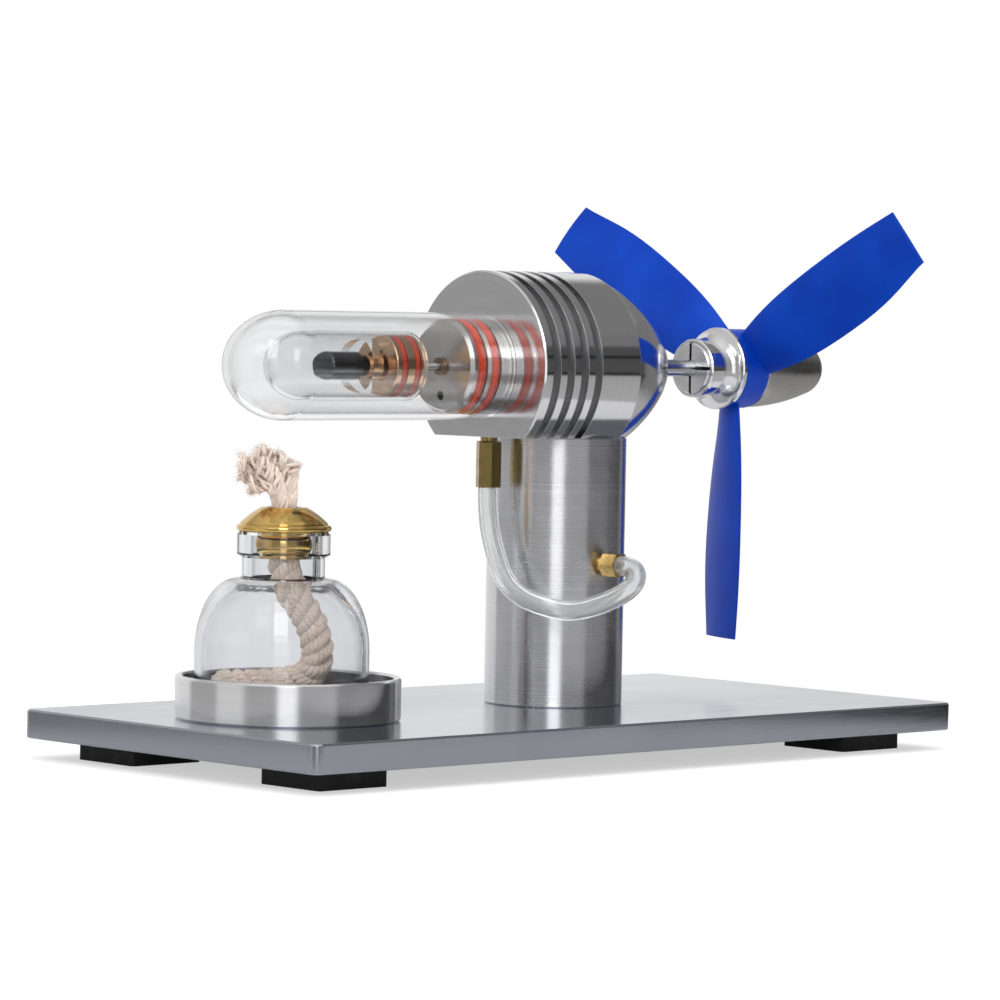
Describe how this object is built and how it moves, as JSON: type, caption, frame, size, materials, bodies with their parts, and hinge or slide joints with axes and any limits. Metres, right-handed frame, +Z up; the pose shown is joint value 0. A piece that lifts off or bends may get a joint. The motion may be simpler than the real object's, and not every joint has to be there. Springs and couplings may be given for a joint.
{
  "type": "stirling engine model",
  "caption": "Desk-top Stirling engine: glass hot tube over an alcohol lamp, finned body on a turned column, clear hose to the power cylinder, and a blue propeller.",
  "frame": {"origin": "on the ground plane under the feet, at the middle of the whole model's length and on the engine's mid-plane", "axes": "+X along the engine's axis from the lamp end to the propeller, -Y the side with the hose, +Z up"},
  "size_m": [0.2026, 0.1189, 0.128],
  "materials": {
    "plate_metal": "semi-polished sheet, fine brushing",
    "turned_metal": "lathe-turned, bright",
    "nut_metal": "satin grey",
    "steel": "ground steel",
    "bearing_steel": "polished",
    "brass": "machined",
    "cap_brass": "polished",
    "rubber": "matt black",
    "seal_red": "silicone, slight gloss",
    "clear_glass": "clear",
    "clear_plastic": "clear silicone and nylon",
    "blue_plastic": "satin moulded",
    "cotton": "twisted undyed cotton"
  },
  "bodies": {
    "frame": {"base_plate": "plate_metal", "rubber_feet": "rubber", "lamp_tray": "turned_metal", "tray_screw": "steel", "column": "turned_metal", "column_screw": "steel", "power_cylinder_liner": "steel", "finned_body": "turned_metal", "rear_housing": "turned_metal", "cylinder_nose": "turned_metal", "displacer_bush": "brass", "nose_o_rings": "seal_red", "hot_cap": "clear_glass", "upper_hose_fitting": "brass", "lower_hose_fitting": "brass", "hose": "clear_plastic", "front_bearing_outer_ring": "bearing_steel", "front_bearing_balls": "bearing_steel", "rear_bearing_outer_ring": "bearing_steel", "rear_bearing_balls": "bearing_steel"},
    "crankshaft": {"prop_shaft": "steel", "crank_disc": "brass", "crank_pin": "steel", "bearing_spacer": "brass", "front_bearing_inner_ring": "bearing_steel", "rear_bearing_inner_ring": "bearing_steel", "prop_collet": "turned_metal", "collet_backplate": "turned_metal", "propeller": "blue_plastic", "spinner_nut": "nut_metal"},
    "conrod": {"connecting_rod": "brass", "wrist_pin": "steel"},
    "piston": {"power_piston": "steel"},
    "displacer": {"displacer_glass": "clear_glass", "displacer_plug": "brass", "displacer_o_rings": "seal_red", "displacer_rod": "steel", "rod_end_weight": "steel", "rod_washer": "clear_plastic"},
    "lamp": {"lamp_bottle": "clear_glass", "lamp_cap": "cap_brass", "wick_head": "cotton", "wick_tail": "cotton"}
  },
  "joints": [
    {"name": "prop_spin", "type": "hinge", "parent": "frame", "child": "crankshaft", "pos_m": [0.02875, 0, 0.0891], "axis": [1, 0, 0], "continuous": true},
    {"name": "conrod_turn", "type": "hinge", "parent": "crankshaft", "child": "conrod", "pos_m": [0.01495, 0, 0.0856], "axis": [1, 0, 0], "continuous": true},
    {"name": "piston_slide", "type": "slide", "parent": "frame", "child": "piston", "axis": [0, 0, 1], "range_m": [0, 0.007]},
    {"name": "displacer_slide", "type": "slide", "parent": "frame", "child": "displacer", "axis": [1, 0, 0], "range_m": [-0.007, 0.009]},
    {"name": "lamp_lift", "type": "slide", "parent": "frame", "child": "lamp", "axis": [0, 0, 1], "range_m": [0, 0.004]}
  ],
  "couplings": [
    {"joint": "conrod_turn", "follows": "prop_spin", "ratio": -1}
  ]
}
